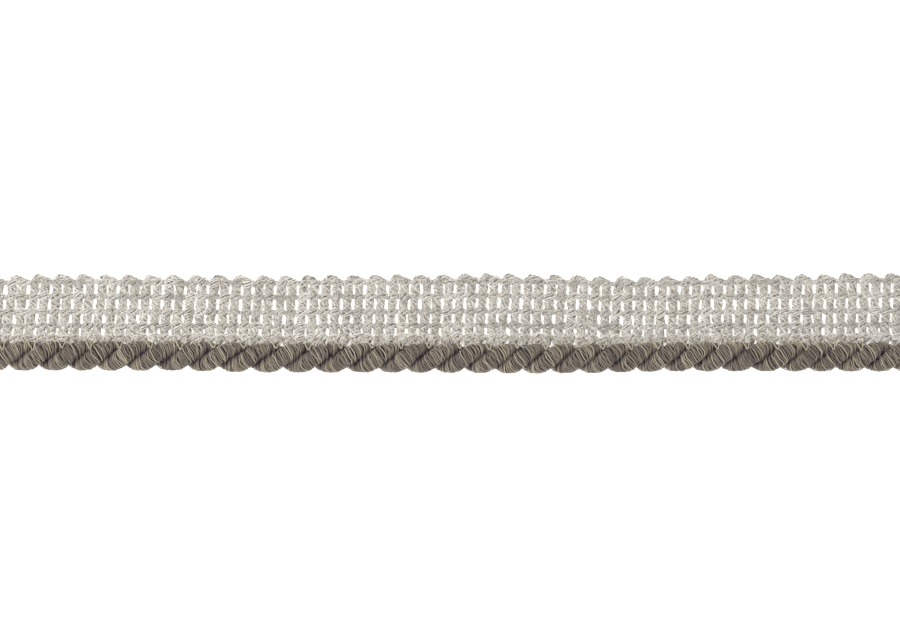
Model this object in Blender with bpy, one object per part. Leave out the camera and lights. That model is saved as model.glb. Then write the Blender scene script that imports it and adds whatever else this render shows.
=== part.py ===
# A cut length of flanged cord trim, lying flat on a surface.
# A two-ply twisted cord runs along the lower edge (-Y), and a crochet-knit tape stands out from it (+Y).
# +X runs along the trim and +Z is up, with the underside at z = 0 and the origin under the middle.
import math

import bmesh
import bpy

MM = 0.001

# The whole trim
TRIM_LENGTH = 210 * MM
SEAT_GAP = 0.3 * MM

# The tape: picks of weft side by side, two to a scallop, held by wales that run along the length
PICK_PITCH = 2.5 * MM
SCALLOP_PITCH = 2 * PICK_PITCH
COLUMNS_PER_SCALLOP = 6
WALE_COUNT = 5
WALE_PITCH = 3.07 * MM
FIRST_WALE_Y = 8.93 * MM
SCALLOP_TIP_Y = 10.92 * MM
SCALLOP_DEPTH = 1.35 * MM
LOBE_TIP_Y = -5.15 * MM
LOBE_DEPTH = 0.95 * MM
PICK_THICKNESS = 1.4 * MM
WALE_RISE = 0.45 * MM
PICK_GROOVE = 0.35 * MM
EDGE_ROUNDING = 0.4 * MM
EDGE_MIDDLE = 0.55
RIB_FULLNESS = 1.2
LIFT_START_Y = -0.5 * MM
LIFT_AT_CORD = 1.3 * MM
LEAN_LEFT = math.radians(6.3)
LEAN_RIGHT = math.radians(2.8)
LEAN_FADE = 6 * MM

# The cord: two plies laid round each other, each pressed oval by the other
CORD_AXIS_Y = -7.6 * MM
CORD_AXIS_Z = 3.15 * MM
PLY_CENTRE_RADIUS = 1.5 * MM
PLY_RADIUS = 1.75 * MM
MEAN_LEAD = 13.07 * MM
GROOVE_SOFTNESS = 0.25 * MM
STEPS_PER_TURN = 12
POINTS_AROUND = 16
REACH_SAMPLES = 64

# Place along the trim (mm) and number of ply crests passed there on the cord's lower edge
TWIST = (
    (-95.4, 0),
    (-62.7, 5),
    (-48.3, 7),
    (-28.5, 10),
    (-19.8, 11),
    (-0.9, 14),
    (23.7, 18),
    (49.5, 22),
    (94.6, 29),
)

# Place along the trim (mm) and how far the cord bows down the picture there (mm)
CORD_BOW = (
    (-105, -0.22),
    (-62, -0.2),
    (-44, 0.15),
    (-5, 0.25),
    (28, 0.38),
    (48, 0.0),
    (105, 0.0),
)

# Place along the trim (mm) and how far the tape's outer edge wanders up there (mm)
EDGE_DRIFT = (
    (-105, -0.12),
    (-56, -0.33),
    (-34, -0.1),
    (-7, 0.3),
    (20, -0.15),
    (33, -0.33),
    (60, 0.1),
    (88, 0.3),
    (105, 0.3),
)

TAPE_COLOUR = (0.546, 0.514, 0.456, 1)
CORD_COLOUR = (0.153, 0.127, 0.105, 1)
YARN_ROUGHNESS = 0.85
SHARP_ANGLE = math.radians(60)


def smooth_lookup(rows, place):
    """Read a table of (place, value) rows on a smooth curve through them."""
    last = len(rows) - 1
    slopes = []
    for row in range(len(rows)):
        before = rows[max(row - 1, 0)]
        after = rows[min(row + 1, last)]
        slopes.append((after[1] - before[1]) / (after[0] - before[0]))
    if place <= rows[0][0]:
        return rows[0][1] + slopes[0] * (place - rows[0][0])
    if place >= rows[last][0]:
        return rows[last][1] + slopes[last] * (place - rows[last][0])
    row = 0
    while rows[row + 1][0] < place:
        row += 1
    span = rows[row + 1][0] - rows[row][0]
    t = (place - rows[row][0]) / span
    ease = t * t * (3 - 2 * t)
    value = rows[row][1] * (1 - ease) + rows[row + 1][1] * ease
    value += slopes[row] * span * t * (1 - t) ** 2
    value -= slopes[row + 1] * span * t * t * (1 - t)
    return value


def smooth_step(value):
    """Ease from 0 to 1."""
    held = min(max(value, 0), 1)
    return held * held * (3 - 2 * held)


def twist_angle(x):
    """Angle of the first ply about the cord's axis, from +Z towards +Y."""
    return math.pi * smooth_lookup(TWIST, x / MM) - math.pi / 2


def cord_axis_y(x):
    """The cord's axis across the trim, with its slight bow."""
    return CORD_AXIS_Y - smooth_lookup(CORD_BOW, x / MM) * MM


def cord_radius(around):
    """Distance from the cord's axis to its surface, around being measured from the first ply.

    Cut across, each ply is an ellipse, so a ray from the axis leaves each one where a quadratic says,
    and the cord ends at the further of the two. The groove between the plies is filled a little.
    """
    lay = math.atan(2 * math.pi * PLY_CENTRE_RADIUS / MEAN_LEAD)
    half_deep = PLY_RADIUS
    half_wide = PLY_RADIUS / math.cos(lay)
    reaches = []
    for side in (1, -1):
        along = side * math.cos(around)
        across = math.sin(around)
        a = (along / half_deep) ** 2 + (across / half_wide) ** 2
        b = along * PLY_CENTRE_RADIUS / half_deep**2
        c = (PLY_CENTRE_RADIUS / half_deep) ** 2 - 1
        reaches.append((b + math.sqrt(b * b - a * c)) / a)
    near = abs(reaches[0] - reaches[1])
    filled = max(GROOVE_SOFTNESS - near, 0) / GROOVE_SOFTNESS
    return max(reaches) + filled * filled * GROOVE_SOFTNESS / 2


def cord_point(x, around):
    """A point of the cord's surface, kept above the surface that the cord lies on."""
    angle = twist_angle(x) + around
    radius = cord_radius(around)
    y = cord_axis_y(x) + radius * math.sin(angle)
    z = CORD_AXIS_Z + radius * math.cos(angle)
    return (x, y, max(z, 0))


def cord_reach(x, low, high):
    """How far the cord stands out towards the tape between two heights."""
    reach = CORD_AXIS_Y
    for sample in range(REACH_SAMPLES):
        point = cord_point(x, 2 * math.pi * sample / REACH_SAMPLES)
        if low <= point[2] <= high:
            reach = max(reach, point[1])
    return reach


def build_cord():
    """The twisted cord as one closed skin, with its two cut ends flat."""
    mesh = bpy.data.meshes.new("cord")
    skin = bmesh.new()
    steps = round(TRIM_LENGTH / MEAN_LEAD * STEPS_PER_TURN)
    rings = []
    for step in range(steps + 1):
        x = TRIM_LENGTH * (step / steps - 0.5)
        ring = []
        for point in range(POINTS_AROUND):
            around = 2 * math.pi * point / POINTS_AROUND
            ring.append(skin.verts.new(cord_point(x, around)))
        rings.append(ring)
    for ring, following in zip(rings, rings[1:]):
        for point in range(POINTS_AROUND):
            beside = (point + 1) % POINTS_AROUND
            skin.faces.new((ring[point], following[point], following[beside], ring[beside]))
    skin.faces.new(rings[0])
    skin.faces.new(reversed(rings[-1]))
    bmesh.ops.recalc_face_normals(skin, faces=skin.faces)
    skin.to_mesh(mesh)
    skin.free()
    return mesh


def lean_shift(x, y):
    """The picks lean, so the tape's outer edge lies a little to the right of its inner edge."""
    share = x / TRIM_LENGTH + 0.5
    lean = LEAN_LEFT * (1 - share) + LEAN_RIGHT * share
    fade = smooth_step((TRIM_LENGTH / 2 - abs(x)) / LEAN_FADE)
    middle = FIRST_WALE_Y - WALE_PITCH * (WALE_COUNT - 1) / 2
    return math.tan(lean) * (y - middle) * fade


def edge_drift(x, y):
    """The tape's slow wander across the trim, full at the outer edge and none at the cord."""
    share = (y - LOBE_TIP_Y) / (SCALLOP_TIP_Y - LOBE_TIP_Y)
    return smooth_lookup(EDGE_DRIFT, x / MM) * MM * share


def arch(phase):
    """Height of a round arch, 1 at phase 0 and 0 half a scallop away."""
    across = 2 * (phase - math.floor(phase + 0.5))
    return math.sqrt(max(1 - across * across, 0))


def underside(y):
    """The tape lies flat, then lifts to meet the cord's side."""
    share = (LIFT_START_Y - y) / (LIFT_START_Y - LOBE_TIP_Y)
    return LIFT_AT_CORD * max(share, 0)


def tape_column(column):
    """One column of points across the tape, from under its outer edge over the top to under its inner edge."""
    scallop = column / COLUMNS_PER_SCALLOP
    x = scallop * SCALLOP_PITCH - TRIM_LENGTH / 2
    outer = SCALLOP_TIP_Y - SCALLOP_DEPTH * (1 - arch(scallop - 0.5))
    inner = LOBE_TIP_Y + LOBE_DEPTH * (1 - arch(scallop))
    rib = abs(math.sin(2 * math.pi * scallop))
    groove = PICK_GROOVE * (1 - min(rib * RIB_FULLNESS, 1))
    points = []

    def add(y, z):
        points.append((x + lean_shift(x, y), y + edge_drift(x, y), z))

    low = underside(inner)
    x_inner = x + lean_shift(x, inner)
    inner = max(inner, cord_reach(x_inner, low, low + PICK_THICKNESS) + SEAT_GAP)
    add(outer - EDGE_ROUNDING, 0)
    add(outer, PICK_THICKNESS * EDGE_MIDDLE)
    add(outer - EDGE_ROUNDING, PICK_THICKNESS - groove)
    for wale in range(WALE_COUNT):
        y = FIRST_WALE_Y - WALE_PITCH * wale
        add(y, underside(y) + PICK_THICKNESS + WALE_RISE - groove)
        if wale < WALE_COUNT - 1:
            y -= WALE_PITCH / 2
            add(y, underside(y) + PICK_THICKNESS - groove)
    low = underside(inner)
    y = inner + EDGE_ROUNDING
    add(y, underside(y) + PICK_THICKNESS - groove)
    add(inner, low + PICK_THICKNESS * EDGE_MIDDLE)
    add(y, underside(y))
    return points


def build_tape():
    """The knitted tape as one closed slab with ribs, wales and two scalloped edges."""
    mesh = bpy.data.meshes.new("flange_tape")
    slab = bmesh.new()
    columns = round(TRIM_LENGTH / SCALLOP_PITCH) * COLUMNS_PER_SCALLOP
    rows = [[slab.verts.new(point) for point in tape_column(column)] for column in range(columns + 1)]
    for row, following in zip(rows, rows[1:]):
        for point in range(len(row) - 1):
            slab.faces.new((row[point], row[point + 1], following[point + 1], following[point]))
    fold = [slab.verts.new((row[0].co.x, LIFT_START_Y, 0)) for row in (rows[0], rows[-1])]
    outer_line = [row[0] for row in rows]
    inner_line = [row[-1] for row in rows]
    slab.faces.new([fold[0]] + outer_line + [fold[1]])
    slab.faces.new([fold[1]] + inner_line[::-1] + [fold[0]])
    slab.faces.new(rows[0] + [fold[0]])
    slab.faces.new(rows[-1] + [fold[1]])
    bmesh.ops.recalc_face_normals(slab, faces=slab.faces)
    bmesh.ops.triangulate(slab, faces=slab.faces)
    slab.to_mesh(mesh)
    slab.free()
    return mesh


def yarn_material(name, colour):
    """Matt yarn in one colour."""
    material = bpy.data.materials.new(name)
    material.use_nodes = True
    shader = material.node_tree.nodes["Principled BSDF"]
    shader.inputs["Base Color"].default_value = colour
    shader.inputs["Roughness"].default_value = YARN_ROUGHNESS
    shader.inputs["Metallic"].default_value = 0
    return material


def place_piece(mesh, colour):
    """Put a mesh in the scene under its own name, smooth but for its sharp edges."""
    piece = bpy.data.objects.new(mesh.name, mesh)
    bpy.context.scene.collection.objects.link(piece)
    mesh.materials.append(yarn_material(mesh.name, colour))
    mesh.shade_smooth()
    mesh.set_sharp_from_angle(angle=SHARP_ANGLE)
    return piece


for old in list(bpy.data.objects):
    bpy.data.objects.remove(old)
place_piece(build_cord(), CORD_COLOUR)
place_piece(build_tape(), TAPE_COLOUR)
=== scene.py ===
import math
import random

import bpy
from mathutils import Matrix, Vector


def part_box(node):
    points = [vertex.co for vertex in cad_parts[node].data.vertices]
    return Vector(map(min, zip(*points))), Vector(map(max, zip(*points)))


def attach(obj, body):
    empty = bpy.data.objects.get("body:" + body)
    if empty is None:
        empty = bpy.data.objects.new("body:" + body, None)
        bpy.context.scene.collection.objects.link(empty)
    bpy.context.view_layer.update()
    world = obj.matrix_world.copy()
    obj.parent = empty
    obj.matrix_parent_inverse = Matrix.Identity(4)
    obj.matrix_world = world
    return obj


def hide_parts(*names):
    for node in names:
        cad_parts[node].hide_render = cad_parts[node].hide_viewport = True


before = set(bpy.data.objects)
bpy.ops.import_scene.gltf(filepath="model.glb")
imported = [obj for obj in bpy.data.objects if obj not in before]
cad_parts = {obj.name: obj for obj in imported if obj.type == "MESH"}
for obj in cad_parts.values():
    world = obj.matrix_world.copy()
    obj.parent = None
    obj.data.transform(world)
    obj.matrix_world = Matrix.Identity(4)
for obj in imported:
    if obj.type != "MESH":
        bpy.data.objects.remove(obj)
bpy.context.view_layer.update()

# A cut length of flanged cord trim, seen from straight above.
# +X runs along the trim, +Y from the cord to the tape's outer edge, +Z towards the camera.
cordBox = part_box("cord")
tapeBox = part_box("flange_tape")
mm = 0.001
fullTurn = 2 * math.pi
scene = bpy.context.scene

trim = {
    "leftEnd": cordBox[0][0],
    "rightEnd": cordBox[1][0],
    "outerEdge": tapeBox[1][1] - 0.4 * mm,   # scallop tips, where the edge doesn't drift
    "innerEdge": tapeBox[0][1],              # lobes' tips, at the cord
    "leanLeft": math.radians(6.3),           # the picks lean, less so towards the right
    "leanRight": math.radians(2.8),
    "leanFade": 6 * mm,
    "driftAtCord": 0.45,                     # share of the edge's drift that the cord's side follows
    "flatUntil": -0.5 * mm,                  # nearer to the cord than this the tape lifts
    "liftAtCord": 1.3 * mm,
}
trimLength = trim["rightEnd"] - trim["leftEnd"]

tape = {
    "picks": 84,
    "waleRows": (8.78 * mm, 5.75 * mm, 2.35 * mm, -0.77 * mm, -3.45 * mm),  # from the outer edge inwards
}
pickPitch = trimLength / tape["picks"]
firstWale, lastWale = tape["waleRows"][0], tape["waleRows"][-1]
tapeMiddle = (firstWale + lastWale) / 2

cord = {
    "axisY": -7.6 * mm,
    "axisZ": 3.3 * mm,
    "centreRadius": 1.5 * mm,
    "plyDepth": 1.85 * mm,   # half a ply through the cord's axis
    "plyWidth": 1.93 * mm,   # half a ply across that
    "squareness": 0.75,
    "crossingShift": 0.15 * mm,  # towards the tape, where one ply lies over the other
}
cordRadius = cord["centreRadius"] + cord["plyDepth"]

# place along the trim in mm, ply crests passed there on the cord's lower edge
twistStations = ((-98.5, -0.5), (-85.2, 1.5), (-72.7, 3.5), (-58.9, 5.5), (-44.9, 7.5), (-30.7, 9.5),
                 (-16.7, 11.5), (-4.1, 13.5), (9.1, 15.5), (21.5, 17.5), (34.2, 19.5), (46.6, 21.5),
                 (59.3, 23.5), (72.6, 25.5), (84.8, 27.5), (97.5, 29.5))
# place in mm, how far the cord bows down the picture in mm
bowStations = ((-105, -0.22), (-62, -0.2), (-44, 0.15), (-5, 0.25), (28, 0.38), (48, 0), (105, 0))
# place in mm, how far the tape's outer edge wanders up the picture in mm
driftStations = ((-105, -0.2), (-88, 0.12), (-72, 0), (-60, -0.08), (-49, -0.04), (-39, -0.26),
                 (-30, -0.1), (-18, 0.05), (-5, 0.08), (5, 0.35), (15, 0.12), (25, -0.02),
                 (35, -0.42), (45, -0.38), (55, -0.1), (65, 0.08), (77, 0.05), (92, 0.4), (105, 0.4))


def smoothLookup(rows, place):
    # a smooth curve through a table of (place, value) rows
    last = len(rows) - 1
    slopes = []
    for row in range(len(rows)):
        before, after = rows[max(row - 1, 0)], rows[min(row + 1, last)]
        slopes.append((after[1] - before[1]) / (after[0] - before[0]))
    if place <= rows[0][0]:
        return rows[0][1] + slopes[0] * (place - rows[0][0])
    if place >= rows[last][0]:
        return rows[last][1] + slopes[last] * (place - rows[last][0])
    row = max(k for k in range(last) if rows[k][0] <= place)
    span = rows[row + 1][0] - rows[row][0]
    t = (place - rows[row][0]) / span
    ease = t * t * (3 - 2 * t)
    value = rows[row][1] * (1 - ease) + rows[row + 1][1] * ease
    return value + span * t * (1 - t) * (slopes[row] * (1 - t) - slopes[row + 1] * t)


def smoothStep(value):
    held = min(max(value, 0), 1)
    return held * held * (3 - 2 * held)


def layAngle(x):
    # angle of the first ply round the cord, from straight up towards the tape
    return math.pi * smoothLookup(twistStations, x / mm) - math.pi / 2


def cordAxisY(x):
    crossing = math.cos(layAngle(x)) ** 2
    return cord["axisY"] - smoothLookup(bowStations, x / mm) * mm + cord["crossingShift"] * crossing


def tapePoint(x, y, height):
    # a place on the flat tape, put where the leaning, drifting and lifting tape has it
    share = (x - trim["leftEnd"]) / trimLength
    lean = trim["leanLeft"] * (1 - share) + trim["leanRight"] * share
    fade = smoothStep(min(x - trim["leftEnd"], trim["rightEnd"] - x) / trim["leanFade"])
    outward = (y - trim["innerEdge"]) / (trim["outerEdge"] - trim["innerEdge"])
    drifting = trim["driftAtCord"] + (1 - trim["driftAtCord"]) * outward
    lift = max((trim["flatUntil"] - y) / (trim["flatUntil"] - trim["innerEdge"]), 0)
    return Vector((x + math.tan(lean) * (y - tapeMiddle) * fade,
                   y + smoothLookup(driftStations, x / mm) * mm * drifting,
                   height + trim["liftAtCord"] * lift))


# Node trees


class Desk:
    # lays out the nodes of one tree
    def __init__(self, tree):
        self.tree = tree

    def add(self, kind, inputs=None, **settings):
        node = self.tree.nodes.new(kind)
        for name, value in settings.items():
            setattr(node, name, value)
        for name, value in (inputs or {}).items():
            self.put(value, node.inputs[name])
        return node

    def put(self, value, socket):
        if isinstance(value, bpy.types.Node):
            value = value.outputs[0]
        if isinstance(value, bpy.types.NodeSocket):
            self.tree.links.new(value, socket)
        else:
            socket.default_value = value

    def math(self, operation, *values):
        node = self.add("ShaderNodeMath", operation=operation)
        for value, socket in zip(values, node.inputs):
            self.put(value, socket)
        return node.outputs[0]

    def vector(self, operation, *values):
        node = self.add("ShaderNodeVectorMath", operation=operation)
        second = node.inputs["Scale"] if operation == "SCALE" else node.inputs[1]
        for value, socket in zip(values, (node.inputs[0], second)):
            self.put(value, socket)
        return node.outputs["Value" if operation in ("LENGTH", "DOT_PRODUCT") else "Vector"]

    def combine(self, x, y, z):
        return self.add("ShaderNodeCombineXYZ", {"X": x, "Y": y, "Z": z}).outputs[0]

    def parts(self, place):
        return self.add("ShaderNodeSeparateXYZ", {"Vector": place}).outputs

    def centred(self, noise):
        # noise from 0 to 1, moved to lie round 0
        return self.math("SUBTRACT", noise, 0.5)

    def chance(self, seed, low=0.0, number=None):
        # a random value from low to 1 for each element, or for each whole number given
        node = self.add("FunctionNodeRandomValue", {"Seed": seed}, data_type="FLOAT")
        self.put(low, node.inputs[2])
        if number is not None:
            self.put(number, node.inputs["ID"])
        return node.outputs[1]

    def chanceVector(self, seed, low, high):
        node = self.add("FunctionNodeRandomValue", {"Min": low, "Max": high, "Seed": seed},
                        data_type="FLOAT_VECTOR")
        return node.outputs[0]

    def fuller(self, wave, power):
        # a wave from -1 to 1, flatter at its ends where the power is below 1
        size = self.math("POWER", self.math("ABSOLUTE", wave), power)
        return self.math("MULTIPLY", self.math("SIGN", wave), size)


socketKinds = {"float": "NodeSocketFloat", "int": "NodeSocketInt", "geometry": "NodeSocketGeometry",
               "material": "NodeSocketMaterial"}


def newTree(name, kind, inputs, outputs):
    # an empty node group, its desk, and the sockets of its start and of its end
    tree = bpy.data.node_groups.new(name, kind)
    for side, sockets in (("INPUT", inputs), ("OUTPUT", outputs)):
        for label, socketKind in sockets.items():
            tree.interface.new_socket(name=label, in_out=side, socket_type=socketKinds[socketKind])
    desk = Desk(tree)
    start = desk.add("NodeGroupInput")
    end = desk.add("NodeGroupOutput")
    return tree, desk, start.outputs, end.inputs


def keepAttribute(desk, geometry, name, value, kind="FLOAT", domain="POINT"):
    node = desk.add("GeometryNodeStoreNamedAttribute", data_type=kind, domain=domain)
    desk.put(geometry, node.inputs["Geometry"])
    node.inputs["Name"].default_value = name
    desk.put(value, node.inputs["Value"])
    return node.outputs[0]


def readAttribute(desk, name, kind="FLOAT"):
    node = desk.add("GeometryNodeInputNamedAttribute", data_type=kind)
    node.inputs["Name"].default_value = name
    return node.outputs["Attribute"]


def shiftedNoise(desk, place, scale, shift):
    # soft noise from 0 to 1, as a value and as a vector, different for each shift
    node = desk.add("ShaderNodeTexNoise", {"Vector": place, "W": shift, "Scale": scale,
                                           "Detail": 0.0}, noise_dimensions="4D")
    return node.outputs


def evenCurve(desk, path, spacing):
    line = desk.add("GeometryNodeMeshToCurve", {"Mesh": path})
    return desk.add("GeometryNodeResampleCurve", {"Curve": line, "Length": spacing}, mode="LENGTH")


def copyCurves(desk, curves, amount, name):
    # copies that know their own number, from 0
    copies = desk.add("GeometryNodeDuplicateElements", {"Geometry": curves, "Amount": amount},
                      domain="SPLINE")
    return keepAttribute(desk, copies.outputs[0], name, copies.outputs[1], "FLOAT", "CURVE")


def wander(desk, vectorNoise, reach):
    centred = desk.vector("SUBTRACT", vectorNoise, (0.5, 0.5, 0.5))
    return desk.vector("SCALE", centred, reach)


def strandSkin(desk, curves, radius, sides, along, oval=(1.0, 1.0, 1.0)):
    # gives curves a round skin and the place on it that the yarn materials read
    ring = desk.add("GeometryNodeCurvePrimitiveCircle", {"Resolution": sides, "Radius": 1.0})
    ringPlace = desk.add("GeometryNodeInputPosition")
    ringed = keepAttribute(desk, ring, "ringPlace", ringPlace, "FLOAT_VECTOR")
    ringed = desk.add("GeometryNodeTransform", {"Geometry": ringed, "Scale": oval})
    curves = keepAttribute(desk, curves, "alongStrand", along)
    skin = desk.add("GeometryNodeCurveToMesh", {"Curve": curves, "Profile Curve": ringed,
                                                "Scale": radius, "Fill Caps": True})
    across = desk.parts(readAttribute(desk, "ringPlace", "FLOAT_VECTOR"))
    place = desk.combine(across[0], across[1], readAttribute(desk, "alongStrand"))
    return keepAttribute(desk, skin, "yarnPlace", place, "FLOAT_VECTOR")


def finishTree(desk, geometry, material, end):
    real = desk.add("GeometryNodeRealizeInstances", {"Geometry": geometry})
    smooth = desk.add("GeometryNodeSetShadeSmooth", {"Geometry": real})
    desk.put(desk.add("GeometryNodeSetMaterial", {"Geometry": smooth, "Material": material}), end[0])


bundle = {
    "wobbleScale": 1150.0,   # of the strands' wandering, to the metre
    "twistUnevenness": 0.6,  # in turns
    "grainShift": 1.7,       # so that the strands' fibres don't lie alike
}


def makeTwistedYarn():
    # strands laid round a path in a flattened bundle, as wide as the path's own values say and with the
    # painted light they give
    tree, desk, given, end = newTree(
        "twistedYarn", "GeometryNodeTree",
        {"Path": "geometry", "Strands": "int", "First Turn": "float", "Half Width": "float",
         "Half Height": "float", "Twist Length": "float", "Evening": "float", "Strand Radius": "float",
         "Wander": "float", "Point Spacing": "float", "Sides": "int", "Seed": "int",
         "Material": "material"},
        {"Strands": "geometry"})
    tagged = copyCurves(desk, evenCurve(desk, given["Path"], given["Point Spacing"]), given["Strands"],
                        "strandNumber")
    number = readAttribute(desk, "strandNumber")
    travelled = desk.add("GeometryNodeSplineParameter").outputs["Length"]
    fullness = readAttribute(desk, "fullness")
    position = desk.add("GeometryNodeInputPosition")
    noise = shiftedNoise(desk, position, bundle["wobbleScale"], desk.math("ADD", number, given["Seed"]))
    share = desk.math("ADD", desk.math("DIVIDE", number, given["Strands"]), given["First Turn"])
    turns = desk.math("ADD", desk.math("DIVIDE", travelled, given["Twist Length"]), share)
    turns = desk.math("ADD", turns, desk.math("MULTIPLY", noise[0], bundle["twistUnevenness"]))
    angle = desk.math("MULTIPLY", turns, fullTurn)
    # the strands cross the flat sides more slowly, so that they stay evenly spread
    evened = desk.math("SINE", desk.math("MULTIPLY", angle, 2.0))
    angle = desk.math("MULTIPLY_ADD", evened, given["Evening"], angle)
    tangent = desk.add("GeometryNodeInputTangent")
    side = desk.vector("NORMALIZE", desk.vector("CROSS_PRODUCT", (0.0, 0.0, 1.0), tangent))
    across = desk.math("MULTIPLY", desk.math("MULTIPLY", desk.math("COSINE", angle), fullness),
                       given["Half Width"])
    upward = desk.math("MULTIPLY", desk.math("SINE", angle), given["Half Height"])
    offset = desk.vector("ADD", desk.vector("SCALE", side, across), desk.combine(0.0, 0.0, upward))
    offset = desk.vector("ADD", offset, wander(desk, noise[1], given["Wander"]))
    laid = desk.add("GeometryNodeSetPosition", {"Geometry": tagged, "Offset": offset})
    own = desk.chance(given["Seed"], number=number)
    # the strand's own tone, with the path's painted light added
    toned = keepAttribute(desk, laid, "tone", desk.math("ADD", own, readAttribute(desk, "lighter")))
    along = desk.math("ADD", travelled, desk.math("MULTIPLY", number, bundle["grainShift"]))
    skin = strandSkin(desk, toned, given["Strand Radius"], given["Sides"], along)
    finishTree(desk, skin, given["Material"], end)
    return tree


def makeFlatCore():
    # a plain flattened filling along a path
    tree, desk, given, end = newTree(
        "flatCore", "GeometryNodeTree",
        {"Path": "geometry", "Half Width": "float", "Half Height": "float", "Tone": "float",
         "Point Spacing": "float", "Sides": "int", "Material": "material"},
        {"Core": "geometry"})
    even = evenCurve(desk, given["Path"], given["Point Spacing"])
    level = desk.add("GeometryNodeSetCurveNormal", {"Curve": even}, mode="Z_UP")
    toned = keepAttribute(desk, level, "tone", given["Tone"])
    travelled = desk.add("GeometryNodeSplineParameter").outputs["Length"]
    oval = desk.combine(given["Half Width"], given["Half Height"], 1.0)
    skin = strandSkin(desk, toned, readAttribute(desk, "fullness"), given["Sides"], travelled, oval)
    finishTree(desk, skin, given["Material"], end)
    return tree


windingGrain = {
    "slipScale": 0.25, "slipShift": 3.1,    # slow unevenness of the winding's lead
    "cloudScale": 0.8, "cloudShift": 7.3,   # slow changes of tone
    "strayScale": 1.1, "strayShift": 3.7,   # how the passes cross their neighbours
    "levelTone": 0.7,                       # a pass of this tone neither rises nor sinks
    "grooveStart": 0.25,                    # where the painted groove shade begins on the ply's side, as a cosine
    # how much sooner the painted groove shade starts on the side that the light reaches last
    "darkerSide": 0.05,
    "thickest": 1.2, "paleThinning": -0.4,
    "coreSides": 12,
}


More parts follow.
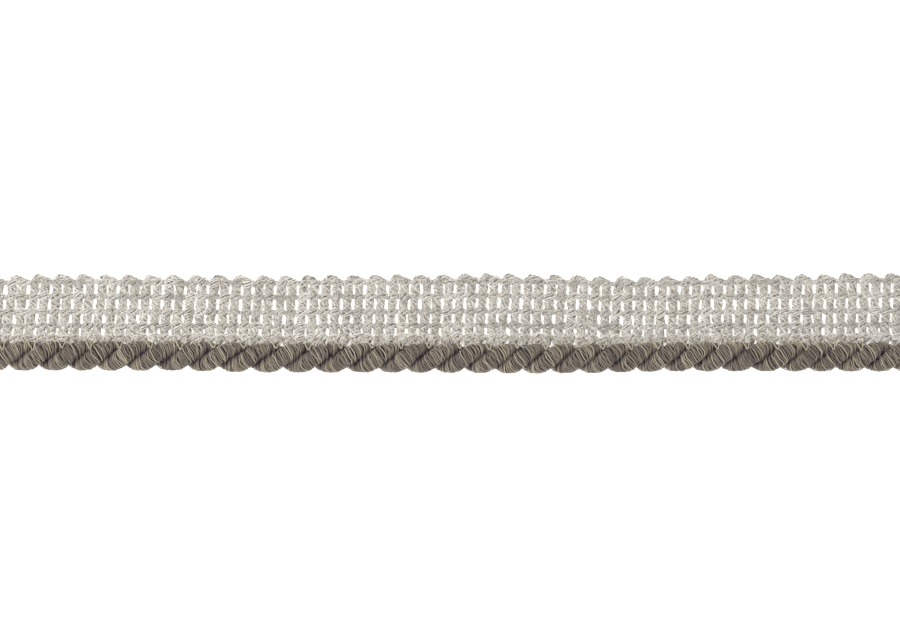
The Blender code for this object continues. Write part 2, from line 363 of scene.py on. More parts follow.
def makeWrappedPly():
    # one ply of the cord: a core that turns round the cord's axis, and fine yarn wound closely over it
    tree, desk, given, end = newTree(
        "wrappedPly", "GeometryNodeTree",
        {"Axis": "geometry", "Ply Turn": "float", "Centre Radius": "float", "Ply Depth": "float",
         "Ply Width": "float", "Squareness": "float", "Wraps": "int", "Wrap Lead": "float",
         "Yarn Radius": "float", "Lift": "float", "Slip": "float", "Stray": "float", "Mottle": "float",
         "Depth Shade": "float", "Point Spacing": "float", "Sides": "int", "Seed": "int",
         "Yarn Material": "material", "Core Material": "material"},
        {"Ply": "geometry"})
    grain = windingGrain
    line = desk.add("GeometryNodeMeshToCurve", {"Mesh": given["Axis"]})
    lay = desk.math("MULTIPLY_ADD", given["Ply Turn"], fullTurn, readAttribute(desk, "layAngle"))
    outward = desk.combine(0.0, desk.math("SINE", lay), desk.math("COSINE", lay))
    marked = keepAttribute(desk, line, "outward", outward, "FLOAT_VECTOR")
    outward = readAttribute(desk, "outward", "FLOAT_VECTOR")
    turned = desk.add("GeometryNodeSetPosition", {
        "Geometry": marked, "Offset": desk.vector("SCALE", outward, given["Centre Radius"])})
    # the wound yarns
    fine = desk.add("GeometryNodeResampleCurve", {"Curve": turned, "Length": given["Point Spacing"]},
                    mode="LENGTH")
    tagged = copyCurves(desk, fine, given["Wraps"], "strandNumber")
    number = readAttribute(desk, "strandNumber")
    travelled = desk.add("GeometryNodeSplineParameter").outputs["Length"]
    tangent = desk.add("GeometryNodeInputTangent")
    leaning = desk.vector("SCALE", tangent, desk.vector("DOT_PRODUCT", outward, tangent))
    radial = desk.vector("NORMALIZE", desk.vector("SUBTRACT", outward, leaning))
    sideways = desk.vector("CROSS_PRODUCT", tangent, radial)
    shift = desk.math("ADD", number, given["Seed"])
    wound = desk.math("MULTIPLY", desk.math("DIVIDE", travelled, given["Wrap Lead"]), given["Wraps"])
    place = desk.combine(wound, 0.0, 0.0)
    slip, cloud = (desk.centred(shiftedNoise(
        desk, place, grain[kind + "Scale"], desk.math("MULTIPLY", shift, grain[kind + "Shift"]))[0])
        for kind in ("slip", "cloud"))
    slipped = desk.math("MULTIPLY_ADD", slip, given["Slip"], number)
    turns = desk.math("DIVIDE", desk.math("SUBTRACT", slipped, wound), given["Wraps"])
    angle = desk.math("MULTIPLY", turns, fullTurn)
    cosine, sine = desk.math("COSINE", angle), desk.math("SINE", angle)
    # each pass over the ply has its own tone; it changes where the plies hide it
    whole = desk.math("FLOOR", desk.math("ADD", turns, 0.5))
    passNumber = desk.math("MULTIPLY_ADD", whole, given["Wraps"], number)
    own = desk.chance(given["Seed"], number=passNumber)
    tone = desk.math("MULTIPLY_ADD", cloud, given["Mottle"], own)
    rise = desk.math("MULTIPLY", desk.math("SUBTRACT", own, grain["levelTone"]), given["Lift"])
    rise = desk.math("SUBTRACT", rise, given["Yarn Radius"])
    out = desk.math("MULTIPLY", desk.fuller(cosine, given["Squareness"]),
                    desk.math("ADD", given["Ply Depth"], rise))
    # the plies press each other flat where they meet
    out = desk.math("MAXIMUM", out, desk.math("SUBTRACT", given["Yarn Radius"], given["Centre Radius"]))
    across = desk.math("MULTIPLY", desk.fuller(sine, given["Squareness"]),
                       desk.math("ADD", given["Ply Width"], rise))
    offset = desk.vector("ADD", desk.vector("SCALE", radial, out), desk.vector("SCALE", sideways, across))
    # each pass strays along the ply in its own way, so that neighbours cross
    aroundPly = desk.combine(cosine, sine, desk.math("MULTIPLY", passNumber, grain["strayShift"]))
    stray = desk.centred(shiftedNoise(desk, aroundPly, grain["strayScale"], shift)[0])
    stray = desk.math("MULTIPLY", stray, given["Stray"])
    offset = desk.vector("ADD", offset, desk.vector("SCALE", tangent, stray))
    # painted shade: darker towards the groove, and sooner on the side that the light reaches last
    inward = desk.math("MULTIPLY_ADD", sine, grain["darkerSide"],
                       desk.math("SUBTRACT", grain["grooveStart"], cosine))
    inward = desk.math("MAXIMUM", inward, 0.0)
    shade = desk.math("SUBTRACT", tone, desk.math("MULTIPLY", inward, given["Depth Shade"]))
    # the pale passes are thinner
    yarnRadius = desk.math("MULTIPLY", given["Yarn Radius"],
                           desk.math("MULTIPLY_ADD", own, grain["paleThinning"], grain["thickest"]))
    # kept while the path is still straight, because a laid yarn is longer
    toned = keepAttribute(desk, tagged, "tone", shade)
    sized = keepAttribute(desk, toned, "yarnRadius", yarnRadius)
    laid = desk.add("GeometryNodeSetPosition", {"Geometry": sized, "Offset": offset})
    along = desk.math("ADD", travelled, number)
    yarns = strandSkin(desk, laid, readAttribute(desk, "yarnRadius"), given["Sides"], along)
    yarns = desk.add("GeometryNodeSetMaterial", {"Geometry": yarns, "Material": given["Yarn Material"]})
    # the core
    thick = desk.math("SUBTRACT", given["Ply Depth"], desk.math("MULTIPLY", given["Yarn Radius"], 2.0))
    coreRing = desk.add("GeometryNodeCurvePrimitiveCircle", {"Resolution": grain["coreSides"],
                                                             "Radius": 1.0})
    core = desk.add("GeometryNodeCurveToMesh", {"Curve": turned, "Profile Curve": coreRing,
                                                "Scale": thick, "Fill Caps": True})
    core = desk.add("GeometryNodeSetMaterial", {"Geometry": core, "Material": given["Core Material"]})
    both = desk.add("GeometryNodeJoinGeometry")
    for half in (core, yarns):
        desk.put(half, both.inputs[0])
    real = desk.add("GeometryNodeRealizeInstances", {"Geometry": both})
    desk.put(desk.add("GeometryNodeSetShadeSmooth", {"Geometry": real}), end[0])
    return tree


linkForm = {
    "endFullness": 0.75,     # below 1 the loop's ends are blunter
    "sideFullness": 0.65,
    "innerWidth": -0.55,     # the second thread's width, less the first one's
    "leastSpin": (0.0, 0.0, -0.2), "mostSpin": (0.0, 0.0, 0.25),
    "leastSize": (0.85, 0.75, 0.9), "mostSize": (1.1, 1.25, 1.1),
    "leastTone": 0.35,
    "tangleScale": 1500.0,   # of the threads' wandering, to the metre
}


def makeChainLinks():
    # a chain-stitch loop on each point: two legs over a pick, closed in the gaps on either side of it
    tree, desk, given, end = newTree(
        "chainLinks", "GeometryNodeTree",
        {"Places": "geometry", "Half Length": "float", "Half Width": "float", "Slant": "float",
         "Foot Height": "float", "Head Rise": "float", "Arch": "float", "Inner Drop": "float",
         "Thread Radius": "float", "Loop Points": "int", "Sides": "int", "Wander": "float",
         "Seed": "int", "Material": "material"},
        {"Links": "geometry"})
    form = linkForm
    circle = desk.add("GeometryNodeCurvePrimitiveCircle", {"Resolution": given["Loop Points"],
                                                           "Radius": 1.0})
    # two threads side by side, the second one inside the first
    loop = copyCurves(desk, circle, 2, "inside")
    inside = readAttribute(desk, "inside")
    run, swing = desk.parts(desk.add("GeometryNodeInputPosition"))[:2]
    long = desk.math("MULTIPLY", desk.fuller(run, form["endFullness"]), given["Half Length"])
    wide = desk.math("MULTIPLY", given["Half Width"],
                     desk.math("MULTIPLY_ADD", inside, form["innerWidth"], 1.0))
    wide = desk.math("MULTIPLY", desk.fuller(swing, form["sideFullness"]), wide)
    cosine, sine = desk.math("COSINE", given["Slant"]), desk.math("SINE", given["Slant"])
    x = desk.math("SUBTRACT", desk.math("MULTIPLY", long, cosine), desk.math("MULTIPLY", wide, sine))
    y = desk.math("ADD", desk.math("MULTIPLY", long, sine), desk.math("MULTIPLY", wide, cosine))
    top = desk.math("SUBTRACT", 1.0, desk.math("MULTIPLY", run, run))
    z = desk.math("MULTIPLY_ADD", top, given["Arch"], given["Foot Height"])
    z = desk.math("MULTIPLY_ADD", run, given["Head Rise"], z)
    z = desk.math("SUBTRACT", z, desk.math("MULTIPLY", inside, given["Inner Drop"]))
    shaped = desk.add("GeometryNodeSetPosition", {"Geometry": loop, "Position": desk.combine(x, y, z)})
    travelled = desk.add("GeometryNodeSplineParameter").outputs["Length"]
    skin = strandSkin(desk, shaped, given["Thread Radius"], given["Sides"], travelled)
    seeds = [desk.math("ADD", given["Seed"], number) for number in (0.0, 1.0, 2.0)]
    spin = desk.chanceVector(seeds[0], form["leastSpin"], form["mostSpin"])
    size = desk.chanceVector(seeds[1], form["leastSize"], form["mostSize"])
    # each link's own tone, with the place's painted light added
    tone = desk.math("ADD", desk.chance(seeds[2], form["leastTone"]), readAttribute(desk, "lighter"))
    points = keepAttribute(desk, given["Places"], "tone", tone)
    placed = desk.add("GeometryNodeInstanceOnPoints", {"Points": points, "Instance": skin,
                                                       "Rotation": spin, "Scale": size})
    real = desk.add("GeometryNodeRealizeInstances", {"Geometry": placed})
    position = desk.add("GeometryNodeInputPosition")
    noise = shiftedNoise(desk, position, form["tangleScale"], given["Seed"])
    tangled = desk.add("GeometryNodeSetPosition", {
        "Geometry": real, "Offset": wander(desk, noise[1], given["Wander"])})
    finishTree(desk, tangled, given["Material"], end)
    return tree


fibreForm = {
    "points": 4, "sides": 3,
    "leastSize": (0.5, 0.2, 0.7), "mostSize": (1.5, 2.0, 1.3),
}


def makeLooseFibres():
    # short fine fibres that stand off the upper side of a surface in all directions
    tree, desk, given, end = newTree(
        "looseFibres", "GeometryNodeTree",
        {"Surface": "geometry", "Density": "float", "Least Height": "float", "Length": "float",
         "Bend": "float", "Radius": "float", "Least Tone": "float", "Seed": "int",
         "Material": "material"},
        {"Fibres": "geometry"})
    # only the faces that look upwards carry fibres
    facing = desk.parts(desk.add("GeometryNodeInputNormal"))[2]
    height = desk.parts(desk.add("GeometryNodeInputPosition"))[2]
    density = desk.math("MULTIPLY", desk.math("MAXIMUM", facing, 0.0), given["Density"])
    density = desk.math("MULTIPLY", desk.math("GREATER_THAN", height, given["Least Height"]), density)
    spots = desk.add("GeometryNodeDistributePointsOnFaces", {
        "Mesh": given["Surface"], "Density": density, "Seed": given["Seed"]})
    tone = desk.chance(given["Seed"], given["Least Tone"])
    toned = keepAttribute(desk, spots.outputs[0], "tone", tone)
    half = desk.math("MULTIPLY", given["Length"], 0.5)
    arc = desk.add("GeometryNodeCurveQuadraticBezier", {
        "Resolution": fibreForm["points"],
        "Start": desk.combine(desk.math("MULTIPLY", half, -1.0), 0.0, 0.0),
        "Middle": desk.combine(0.0, given["Bend"], 0.0), "End": desk.combine(half, 0.0, 0.0)})
    travelled = desk.add("GeometryNodeSplineParameter").outputs["Length"]
    hair = strandSkin(desk, arc, given["Radius"], fibreForm["sides"], travelled)
    turn = desk.chanceVector(given["Seed"], (0.0, 0.0, 0.0), (fullTurn, fullTurn, fullTurn))
    size = desk.chanceVector(desk.math("ADD", given["Seed"], 1.0), fibreForm["leastSize"],
                             fibreForm["mostSize"])
    strewn = desk.add("GeometryNodeInstanceOnPoints", {"Points": toned, "Instance": hair,
                                                       "Rotation": turn, "Scale": size})
    finishTree(desk, strewn, given["Material"], end)
    return tree


def pathMesh(name, points, attributes=None, joined=True):
    # a line of edges, or loose points, with values kept on its points
    mesh = bpy.data.meshes.new(name)
    edges = [(k, k + 1) for k in range(len(points) - 1)] if joined else []
    mesh.from_pydata([tuple(point) for point in points], edges, [])
    for label, values in (attributes or {}).items():
        kept = mesh.attributes.new(label, "FLOAT", "POINT")
        kept.data.foreach_set("value", values)
    return mesh


def evenPath(name, points, lighter=0.0):
    # a line of edges whose bundle is equally full all along, with the same painted light all along
    return pathMesh(name, points, {"fullness": [1.0] * len(points), "lighter": [lighter] * len(points)})


def fromTable(table, labels, kind=""):
    # a tree's inputs, each from the table's value of that name, with the kind before it where given
    values = {}
    for label in labels.split(", "):
        key = kind + label.replace(" ", "")
        values[label] = table[key[0].lower() + key[1:]]
    return values


bundleInputs = ("Strands, Half Width, Half Height, Twist Length, Strand Radius, Wander, Point Spacing, "
                "Sides")


def placeObject(name, data):
    placed = bpy.data.objects.new(name, data)
    scene.collection.objects.link(placed)
    return placed


def growPiece(name, source, tree, values):
    # runs a tree on a source mesh and keeps the result as a plain mesh at the origin
    seedling = placeObject(name + "Source", source)
    modifier = seedling.modifiers.new(tree.name, "NODES")
    modifier.node_group = tree
    sockets = {item.name: item.identifier for item in tree.interface.items_tree if item.in_out == "INPUT"}
    for label, value in values.items():
        modifier[sockets[label]] = value
    graph = bpy.context.evaluated_depsgraph_get()
    mesh = bpy.data.meshes.new_from_object(seedling.evaluated_get(graph), depsgraph=graph)
    bpy.data.objects.remove(seedling)
    mesh.name = name
    piece = placeObject(name, mesh)
    print(name, "triangles", sum(len(face.vertices) - 2 for face in mesh.polygons))
    return piece


def joinPieces(name, pieces):
    with bpy.context.temp_override(active_object=pieces[0], selected_editable_objects=pieces):
        bpy.ops.object.join()
    pieces[0].name = name
    return pieces[0]


# Materials


fibreGrain = {
    "detail": 3.0, "roughness": 0.6,
    "darkest": 0.34, "lightest": 0.66,  # the noise values that give the ends of a streak
    "cloudScale": 220.0, "cloudDetail": 2.0,
    "sheenRoughness": 0.5,
}


def makeFibreGroup():
    # fine fibres that run round and along a strand: their streaks, their height and slow clouds
    tree, desk, given, end = newTree(
        "fibreStreaks", "ShaderNodeTree",
        {"Along Scale": "float", "Around Scale": "float", "Twist": "float"},
        {"Streak": "float", "Height": "float", "Cloudy": "float"})
    place = desk.parts(desk.add("ShaderNodeAttribute", attribute_name="yarnPlace").outputs["Vector"])
    turn = desk.math("MULTIPLY", place[2], given["Twist"])
    cosine, sine = desk.math("COSINE", turn), desk.math("SINE", turn)
    across = desk.math("SUBTRACT", desk.math("MULTIPLY", place[0], cosine),
                       desk.math("MULTIPLY", place[1], sine))
    upward = desk.math("ADD", desk.math("MULTIPLY", place[0], sine),
                       desk.math("MULTIPLY", place[1], cosine))
    stretched = desk.combine(desk.math("MULTIPLY", across, given["Around Scale"]),
                             desk.math("MULTIPLY", upward, given["Around Scale"]),
                             desk.math("MULTIPLY", place[2], given["Along Scale"]))
    fine = desk.add("ShaderNodeTexNoise", {
        "Vector": stretched, "Scale": 1.0, "Detail": fibreGrain["detail"],
        "Roughness": fibreGrain["roughness"]}).outputs[0]
    streak = desk.add("ShaderNodeMapRange", {"Value": fine, "From Min": fibreGrain["darkest"],
                                             "From Max": fibreGrain["lightest"]})
    objectPlace = desk.add("ShaderNodeTexCoord").outputs["Object"]
    cloudy = desk.add("ShaderNodeTexNoise", {"Vector": objectPlace, "Scale": fibreGrain["cloudScale"],
                                             "Detail": fibreGrain["cloudDetail"]})
    for value, label in ((streak, "Streak"), (fine, "Height"), (cloudy, "Cloudy")):
        desk.put(value, end[label])
    return tree


def linear(*levels):
    # a colour as seen on a screen, 0 to 255 and not near black, as light
    return tuple(((level / 255 + 0.055) / 1.055) ** 2.4 for level in levels) + (1.0,)


def colourRamp(desk, value, stops):
    node = desk.add("ShaderNodeValToRGB", {"Fac": value})
    ramp = node.color_ramp
    for stop in stops[1:-1]:
        ramp.elements.new(stop[0])
    for element, (place, colour) in zip(ramp.elements, stops):
        element.position = place
        element.color = colour
    return node.outputs[0]


def yarnMaterial(name, fibres, look):
    # matt yarn whose colour follows its strand's own tone, its fibres and a slow cloudiness
    material = bpy.data.materials.new(name)
    material.use_nodes = True
    desk = Desk(material.node_tree)
    shader = material.node_tree.nodes["Principled BSDF"]
    streaks = desk.add("ShaderNodeGroup", node_tree=fibres)
    for label in ("Along Scale", "Around Scale", "Twist"):
        streaks.inputs[label].default_value = look[label]
    tone = desk.add("ShaderNodeAttribute", attribute_name="tone").outputs["Fac"]
    mixed = desk.math("MULTIPLY", tone, look["toneShare"])
    mixed = desk.math("MULTIPLY_ADD", streaks.outputs["Streak"], look["streakShare"], mixed)
    mixed = desk.math("MULTIPLY_ADD", streaks.outputs["Cloudy"], look["cloudShare"], mixed)
    desk.put(colourRamp(desk, mixed, look["stops"]), shader.inputs["Base Color"])
    bump = desk.add("ShaderNodeBump", {"Height": streaks.outputs["Height"], "Strength": look["bump"],
                                       "Distance": look["bumpDepth"]})
    desk.put(bump, shader.inputs["Normal"])
    for label, value in (("Roughness", look["roughness"]), ("Specular IOR Level", look["specular"]),
                         ("Sheen Weight", look["sheen"]),
                         ("Sheen Roughness", fibreGrain["sheenRoughness"])):
        shader.inputs[label].default_value = value
    return material


fibreStreaks = makeFibreGroup()

tapeLook = {
    "Along Scale": 2100.0, "Around Scale": 2.2, "Twist": 2500.0,
    "toneShare": 0.43, "streakShare": 0.58, "cloudShare": 0.16,
    "stops": ((0.09, linear(120, 112, 99)), (0.465, linear(191, 185, 175)), (0.85, linear(250, 246, 238))),
    "bump": 0.7, "bumpDepth": 0.1 * mm, "roughness": 0.55, "specular": 0.4, "sheen": 0.15,
}
cordLook = {
    "Along Scale": 500.0, "Around Scale": 2.0, "Twist": 3000.0,
    "toneShare": 0.74, "streakShare": 0.12, "cloudShare": 0.17,
    # the darkest stop is where the painted groove shade takes the yarns
    "stops": ((0.0, linear(54, 42, 50)), (0.12, linear(102, 91, 85)), (0.65, linear(146, 135, 120)),
              (0.95, linear(204, 192, 168))),
    "bump": 0.6, "bumpDepth": 0.05 * mm, "roughness": 0.6, "specular": 0.35, "sheen": 0.1,
}
# the plies' core and the filling: a dark purple core, dark also as painted shade in the gaps between the
# wound yarns
coreLook = {
    "Along Scale": 300.0, "Around Scale": 6.0, "Twist": 0.0,
    "toneShare": 0.3, "streakShare": 0.4, "cloudShare": 0.3,
    "stops": ((0.2, linear(50, 44, 45)), (0.8, linear(82, 73, 70))),
    "bump": 0.5, "bumpDepth": 0.05 * mm, "roughness": 0.8, "specular": 0.2, "sheen": 0.0,
}
sewingLook = {
    "Along Scale": 500.0, "Around Scale": 2.0, "Twist": 6000.0,
    "toneShare": 0.2, "streakShare": 0.5, "cloudShare": 0.3,
    "stops": ((0.2, linear(184, 172, 146)), (0.8, linear(226, 217, 194))),
    "bump": 0.5, "bumpDepth": 0.03 * mm, "roughness": 0.45, "specular": 0.5, "sheen": 0.1,
}
tapeYarn, cordYarn, cordCore, sewingYarn = (yarnMaterial(name, fibreStreaks, look) for name, look in (
    ("tapeYarn", tapeLook), ("cordYarn", cordLook), ("cordCore", coreLook), ("sewingYarn", sewingLook)))
print("materials made")


# The tape's weft: one yarn bundle that goes up one pick and down the next

weft = {
    "strands": 5,                # in each of the two yarns that lie together
    "strandRadius": 0.145 * mm,
    "halfWidth": 0.96 * mm,
    "halfHeight": 0.34 * mm,
    "pinchAtWale": 0.86,
    "widestCell": 1.12,          # how full the bundle is between two wales
    "thinnestCell": 0.88,
    # for each cell from the outer edge inwards: how much fuller the picks are there, and how
    # far the two picks of a scallop draw together
    "fullerByCell": (0.01, -0.005, -0.02, 0.04),
    "pairing": (0.065 * mm, 0.016 * mm, -0.024 * mm, -0.024 * mm),
    "sideways": 0.13 * mm,       # how far a pick strays between two wales
    "twistLength": -4.4 * mm,
    "evening": 0.19,             # in radians
    "wander": 0.78 * mm,
    "height": 0.72 * mm,
    "bumpStart": 0.25 * mm,      # how far past the outer wale the picks run straight
    "bumpSquareness": 0.78,
    "bumpNarrowing": 0.55,
    "bumpLean": -0.7 * mm,
    "bumpFullness": 0.82,
    "lobeStart": 0.9 * mm,
    "lobeSquareness": 0.65,
    "lobeFullness": 1.55,
    # painted light on the lobes towards the cord, against the cord's shadow on them
    "lobeTone": 1.2,
    "reachPastEdge": -0.04 * mm,  # how far the lobes' tips pass the tape's inner edge
    "straightSteps": 32,
    "turnSteps": 10,
    "sides": 4,
    "pointSpacing": 0.36 * mm,
    "coreHalfWidth": 0.94 * mm,
    "coreHalfHeight": 0.24 * mm,
    # painted shade: the filling that shows between the strands is a little darker than they are
    "coreTone": -0.1,
    "coreSides": 8,
    "corePointSpacing": 0.7 * mm,
    "seed": 3,
    "seedStep": 10,
}


def waleShare(y):
    # wales passed on the way down to y, as a number with its fraction
    rows = tape["waleRows"]
    for number in range(len(rows) - 1):
        if y > rows[number + 1]:
            return max(number + (rows[number] - y) / (rows[number] - rows[number + 1]), 0)
    return len(rows) - 1


def weftPath():
    # the middle line of the weft, with how full its bundle is and how much painted light it has at each
    # point
    dice = random.Random(weft["seed"])
    points, fullness, lighter = [], [], []
    half = pickPitch / 2
    reach = weft["halfWidth"] + weft["strandRadius"]
    low, high = lastWale - weft["lobeStart"], firstWale + weft["bumpStart"]
    scallop = (high, trim["outerEdge"] - reach * weft["bumpFullness"], weft["bumpSquareness"],
               weft["bumpFullness"], weft["bumpNarrowing"], weft["bumpLean"])
    lobe = (low, trim["innerEdge"] - weft["reachPastEdge"] + reach, weft["lobeSquareness"],
            weft["lobeFullness"], 0, 0)

    def add(x, y, full):
        points.append(tapePoint(x, y, weft["height"]))
        fullness.append(full)
        # painted light that grows towards the lobes' tips
        lighter.append(weft["lobeTone"] * smoothStep((lastWale - y) / weft["lobeStart"] + 1))

    for pick in range(tape["picks"]):
        x = trim["leftEnd"] + pickPitch * (pick + 0.5)
        goesUp = pick % 2 == 0
        inward = 1 if goesUp else -1
        cells = [(dice.uniform(weft["thinnestCell"], weft["widestCell"]) + fuller,
                  dice.uniform(-1, 1) * weft["sideways"] + inward * pairing)
                 for fuller, pairing in zip(weft["fullerByCell"], weft["pairing"])]
        for step in range(weft["straightSteps"]):
            share = step / (weft["straightSteps"] - 1)
            y = low + (high - low) * (share if goesUp else 1 - share)
            passed = waleShare(y)
            cell = min(int(passed), len(cells) - 1)
            between = math.sin(math.pi * (passed - cell)) ** 2
            full = 1
            if lastWale <= y <= firstWale:
                full = weft["pinchAtWale"] + (cells[cell][0] - weft["pinchAtWale"]) * between
            if y < lastWale:
                full += (weft["lobeFullness"] - full) * (lastWale - y) / weft["lobeStart"]
            add(x + cells[cell][1] * between, y, full)
        if pick == tape["picks"] - 1:
            break
        edge, tip, squareness, full, narrowing, lean = scallop if goesUp else lobe
        for step in range(1, weft["turnSteps"]):
            angle = math.pi * step / weft["turnSteps"]
            run = math.copysign(abs(math.cos(angle)) ** squareness, math.cos(angle))
            rise = math.sin(angle) ** squareness
            reachOut = half * (1 - narrowing * rise)
            add(x + half - reachOut * run + lean * rise, edge + (tip - edge) * rise, full)
    return pathMesh("weftPath", points, {"fullness": fullness, "lighter": lighter})


twistedYarn = makeTwistedYarn()
weftYarns = [growPiece(name, weftPath(), twistedYarn, {
    **fromTable(weft, bundleInputs + ", Evening"), "First Turn": number / 2 / weft["strands"],
    "Seed": weft["seed"] + weft["seedStep"] * number, "Material": tapeYarn})
    for number, name in enumerate(("weftYarnOne", "weftYarnTwo"))]
weftCore = growPiece("weftCore", weftPath(), makeFlatCore(), {
    **fromTable(weft, "Half Width, Half Height, Tone, Point Spacing, Sides", "core"),
    "Material": tapeYarn})
print("weft laid")


# The wales: a chain of loops over the picks and a float that runs through between them

wale = {
    "halfLength": 1.27 * mm,
    "halfWidth": 0.7 * mm,
    "slant": math.radians(24),
    "footHeight": 0.95 * mm,
    "headRise": 0.15 * mm,
    "arch": 0.5 * mm,
    "innerDrop": 0.04 * mm,
    "threadRadius": 0.14 * mm,
    "loopPoints": 14,
    "sides": 4,
    "wander": 0.7 * mm,
    "seed": 11,
    # painted light on the row at the cord, against the cord's shadow
    "innerTone": 0.45,
    "floatHeight": 0.62 * mm,
    "floatSwing": 0.2 * mm,
    "outerFloatRise": 0.22 * mm,  # the outermost float lies in the notches between the scallops
    "floatStrands": 4,
    "floatHalfWidth": 0.52 * mm,
    "floatHalfHeight": 0.12 * mm,
    "floatTwistLength": 2.2 * mm,
    "floatStrandRadius": 0.18 * mm,
    "floatWander": 0.05 * mm,
    "floatPointSpacing": 0.55 * mm,
    "floatSides": 5,
    "floatSeed": 20,
    "stepsPerPick": 4,
}


def rowLight(row):
    # painted light: the row at the cord is lighter than the others, towards the lobes, against the cord's
    # shadow
    return wale["innerTone"] if row == lastWale else 0.0


def linkPlaces():
    places, lighter = [], []
    for row in tape["waleRows"]:
        for pick in range(tape["picks"]):
            x = trim["leftEnd"] + pickPitch * (pick + 0.5)
            places.append(tapePoint(x, row, 0))
            lighter.append(rowLight(row))
    return pathMesh("linkPlaces", places, {"lighter": lighter}, joined=False)


def floatPath(row):
    points = []
    middle = row + (wale["outerFloatRise"] if row == firstWale else 0)
    for step in range(tape["picks"] * wale["stepsPerPick"] + 1):
        picksPassed = step / wale["stepsPerPick"]
        swing = wale["floatSwing"] * math.sin(math.pi * picksPassed)
        x = trim["leftEnd"] + pickPitch * picksPassed
        points.append(tapePoint(x, middle + swing, wale["floatHeight"]))
    return evenPath("floatPath", points, rowLight(row))


waleLoops = growPiece("waleLoops", linkPlaces(), makeChainLinks(), {
    **fromTable(wale, "Half Length, Half Width, Slant, Foot Height, Head Rise, Arch, Inner Drop, "
                      "Thread Radius, Loop Points, Sides, Wander, Seed"), "Material": tapeYarn})
waleFloats = joinPieces("waleFloats", [
    growPiece(f"waleFloat{number}", floatPath(row), twistedYarn, {
        **fromTable(wale, bundleInputs, "float"), "Seed": wale["floatSeed"] + number,
        "Material": tapeYarn})
    for number, row in enumerate(tape["waleRows"])])
print("wales knitted")


# The cord: two plies laid round each other, each wound with fine yarn

winding = {
    "wraps": 1,
    "wrapLead": 0.34 * mm,
    "yarnRadius": 0.165 * mm,
    "lift": 0.26 * mm,
    "slip": 1.8,
    "stray": 0.75 * mm,
    "mottle": 0.2,
    "depthShade": 1.25,       # how much painted shade darkens the yarns where the plies meet
    "pointsPerTurn": 16,
    "sides": 5,
    "seed": 30,
    "seedStep": 100,
    "axisSteps": 700,
}
# the dark filling between the plies: the cord's own purple core, dark also as painted shade where the
# plies meet
heart = {"strands": 1, "halfWidth": 0.0, "halfHeight": 0.0, "twistLength": 20 * mm, "wander": 0.0,
         "strandRadius": 0.7 * mm, "pointSpacing": 1.3 * mm, "sides": 8, "seed": 50, "steps": 160}


def axisPoints(steps):
    places = [trim["leftEnd"] + trimLength * step / steps for step in range(steps + 1)]
    return [(x, cordAxisY(x), cord["axisZ"]) for x in places]


def cordAxis():
    points = axisPoints(winding["axisSteps"])
    return pathMesh("cordAxis", points, {"layAngle": [layAngle(point[0]) for point in points]})


wrappedPly = makeWrappedPly()
plies = [growPiece(name, cordAxis(), wrappedPly, {
    **fromTable(cord, "Centre Radius, Ply Depth, Ply Width, Squareness"),
    **fromTable(winding, "Wraps, Wrap Lead, Yarn Radius, Lift, Slip, Stray, Mottle, Depth Shade, Sides"),
    "Point Spacing": winding["wrapLead"] / winding["pointsPerTurn"], "Ply Turn": number / 2,
    "Seed": winding["seed"] + winding["seedStep"] * number,
    "Yarn Material": cordYarn, "Core Material": cordCore})
    for number, name in enumerate(("cordPlyOne", "cordPlyTwo"))]
cordHeart = growPiece("cordHeart", evenPath("heartAxis", axisPoints(heart["steps"])), twistedYarn, {
    **fromTable(heart, bundleInputs + ", Seed"), "Material": cordCore})
print("cord laid")


# The sewing thread: a zigzag from the last wale into the cord, two stitches to each ply

sewing = {
    "stitches": 61,
    "firstCrest": -1.66,        # ply crests passed where the first stitch bites into the cord
    "upper": -3.15 * mm,
    "lowerInGroove": -5.85 * mm,
    "lowerOnPly": -5.05 * mm,
    "upperHeight": 2.05 * mm,
    "bar": 0.75 * mm,           # between the two holes at the top of a stitch
    "bite": 0.18 * mm,          # between the two ends in the cord
    "jitter": 0.3 * mm,
    "sink": 0.5 * mm,           # how deep the lower ends lie in the wound yarn
    "hidden": 0.9 * mm,         # length of thread that goes on inside
    "belly": 0.25 * mm,
    "leastCurve": 0.05,         # keeps an end that misses the cord's round off its axis
    "strands": 2,
    "strandRadius": 0.08 * mm,
    "halfWidth": 0.07 * mm,
    "halfHeight": 0.05 * mm,
    "twistLength": 1.2 * mm,
    "wander": 0.02 * mm,
    "pointSpacing": 0.25 * mm,
    "sides": 4,
    "pathSeed": 5,
    "seed": 40,
}


def sewingPath():
    dice = random.Random(sewing["pathSeed"])
    places = [(crest, place) for place, crest in twistStations]
    points = []

    def uneven():
        return dice.uniform(-1, 1) * sewing["jitter"]

    def biteAt(stitch):
        return smoothLookup(places, sewing["firstCrest"] + stitch / 2) * mm

    for stitch in range(sewing["stitches"]):
        xLow = biteAt(stitch) + uneven()
        low = sewing["lowerOnPly" if stitch % 2 else "lowerInGroove"] + uneven()
        # the lower end bites into the cord's upper side
        depth = max(1 - ((low - cordAxisY(xLow)) / cordRadius) ** 2, sewing["leastCurve"])
        onCord = cord["axisZ"] + cordRadius * math.sqrt(depth) - sewing["sink"]
        for side in (-1, 1):
            xTop = (biteAt(stitch) + biteAt(stitch + side)) / 2 - side * sewing["bar"] / 2 + uneven() / 2
            upper = tapePoint(xTop, sewing["upper"] + uneven() / 2, sewing["upperHeight"])
            lower = Vector((xLow + side * sewing["bite"] / 2, low, onCord))
            middle = (upper + lower) / 2 + Vector((0, 0, sewing["belly"]))
            into = upper - Vector((0, 0, sewing["hidden"]))
            under = lower - Vector((0, 0, sewing["hidden"]))
            leg = [into, upper, middle, lower, under]
            points += leg if side < 0 else leg[::-1]
    return evenPath("sewingPath", points)


sewingThread = growPiece("sewingThread", sewingPath(), twistedYarn, {
    **fromTable(sewing, bundleInputs + ", Seed"), "Material": sewingYarn})
print("sewn")


# Loose fibres that stand off the tape and the cord

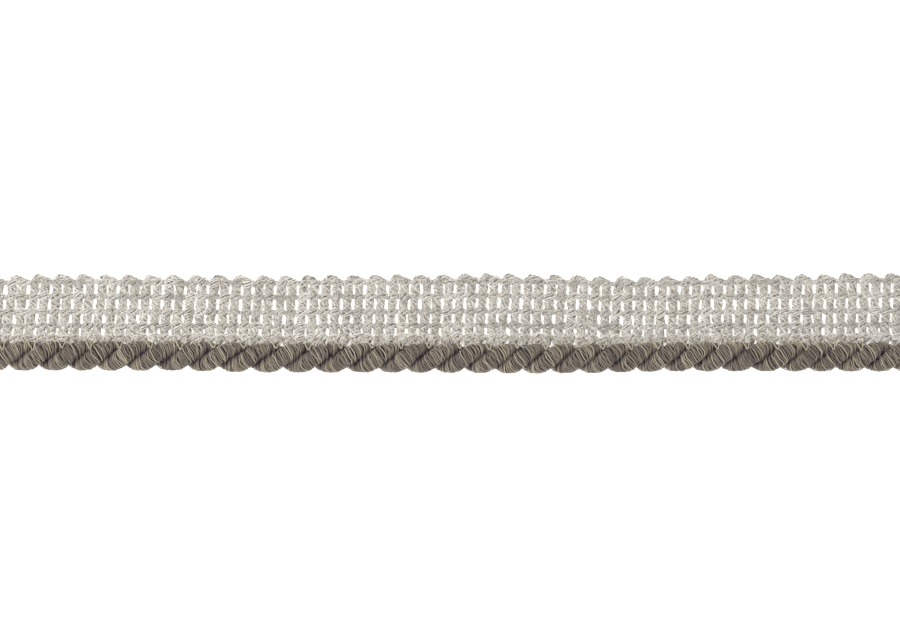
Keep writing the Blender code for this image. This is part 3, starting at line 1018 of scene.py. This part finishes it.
fuzz = {
    "leastHeight": 0.75 * mm,  # no fibres start nearer to the underside
    "tapeDensity": 1150000.0,  # to the square metre of yarn that looks straight up
    "tapeLength": 1.1 * mm,
    "tapeBend": 0.45 * mm,
    "tapeRadius": 0.045 * mm,
    "tapeLeastTone": 0.3,
    "cordDensity": 380000.0,
    "cordLength": 1.0 * mm,
    "cordBend": 0.3 * mm,
    "cordRadius": 0.028 * mm,
    "cordLeastTone": 0.5,
    "seed": 60,
}
looseFibres = makeLooseFibres()


def growFibres(name, surface, kind, number, material):
    return growPiece(name, surface.data, looseFibres, {
        **fromTable(fuzz, "Density, Length, Bend, Radius, Least Tone", kind),
        "Least Height": fuzz["leastHeight"], "Seed": fuzz["seed"] + number, "Material": material})


tapeFuzz = growFibres("tapeFuzz", weftYarns[0], "tape", 0, tapeYarn)
cordFuzz = joinPieces("cordFuzz", [growFibres(f"cordFuzz{number}", ply, "cord", number, cordYarn)
                                   for number, ply in enumerate(plies)])
print("loose fibres strewn")


# Floor, light and camera

studio = {
    "widthSeen": 200 * mm,
    "seenHeight": 1.5 * mm,
    "lookAt": (-0.72 * mm, 2.56 * mm),
    "lens": 120.0,
    "sensor": 36.0,
    "nearest": 0.01,
    "farthest": 10.0,
    "floorSize": 1.6,
    "floorColour": (0.9, 0.9, 0.9, 1),
    "floorRoughness": 0.9,
    "floorSpecular": 0.1,
    "floorGlow": 0.68,          # keeps the ground as white as in a cut-out picture
    "white": (1, 1, 1, 1),
    "surroundings": 0.26,
    # place, size in metres and power in watts
    "keyLight": ((-0.4, 0.3, 0.75), 0.4, 6.6),
    "fillLight": ((0.25, -0.6, 0.6), 0.5, 3.1),
}


def makeFloor():
    half = studio["floorSize"] / 2
    mesh = bpy.data.meshes.new("floor")
    corners = [(x * half, y * half, 0) for x, y in ((-1, -1), (1, -1), (1, 1), (-1, 1))]
    mesh.from_pydata(corners, [], [(0, 1, 2, 3)])
    material = bpy.data.materials.new("paleFloor")
    material.use_nodes = True
    shader = material.node_tree.nodes["Principled BSDF"]
    for label, value in (("Base Color", studio["floorColour"]), ("Roughness", studio["floorRoughness"]),
                         ("Specular IOR Level", studio["floorSpecular"]),
                         ("Emission Color", studio["white"]), ("Emission Strength", studio["floorGlow"])):
        shader.inputs[label].default_value = value
    mesh.materials.append(material)
    floor = placeObject("floor", mesh)


def makeLights():
    for name in ("keyLight", "fillLight"):
        place, size, power = studio[name]
        light = bpy.data.lights.new(name, "AREA")
        light.size = size
        light.energy = power
        lamp = placeObject(name, light)
        lamp.location = place
        # turned towards the origin
        lamp.rotation_euler = (-Vector(place)).to_track_quat("-Z", "Y").to_euler()
    world = bpy.data.worlds.new("studioWorld")
    world.use_nodes = True
    background = world.node_tree.nodes["Background"]
    background.inputs["Color"].default_value = studio["white"]
    background.inputs["Strength"].default_value = studio["surroundings"]
    scene.world = world


def makeCamera():
    lens = bpy.data.cameras.new("camera")
    lens.lens = studio["lens"]
    lens.sensor_width = studio["sensor"]
    lens.clip_start = studio["nearest"]
    lens.clip_end = studio["farthest"]
    camera = placeObject("camera", lens)
    away = studio["widthSeen"] * studio["lens"] / studio["sensor"]
    camera.location = (*studio["lookAt"], studio["seenHeight"] + away)
    scene.camera = camera


makeFloor()
makeLights()
makeCamera()
scene.view_settings.view_transform = "Standard"
print("studio set")

for piece in (*weftYarns, weftCore, waleLoops, waleFloats, tapeFuzz):
    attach(piece, "root")
for piece in (*weftYarns, weftCore):
    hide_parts("flange_tape")
for piece in (*plies, cordHeart, cordFuzz):
    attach(piece, "root")
for piece in (*plies, cordHeart):
    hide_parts("cord")
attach(sewingThread, "root")
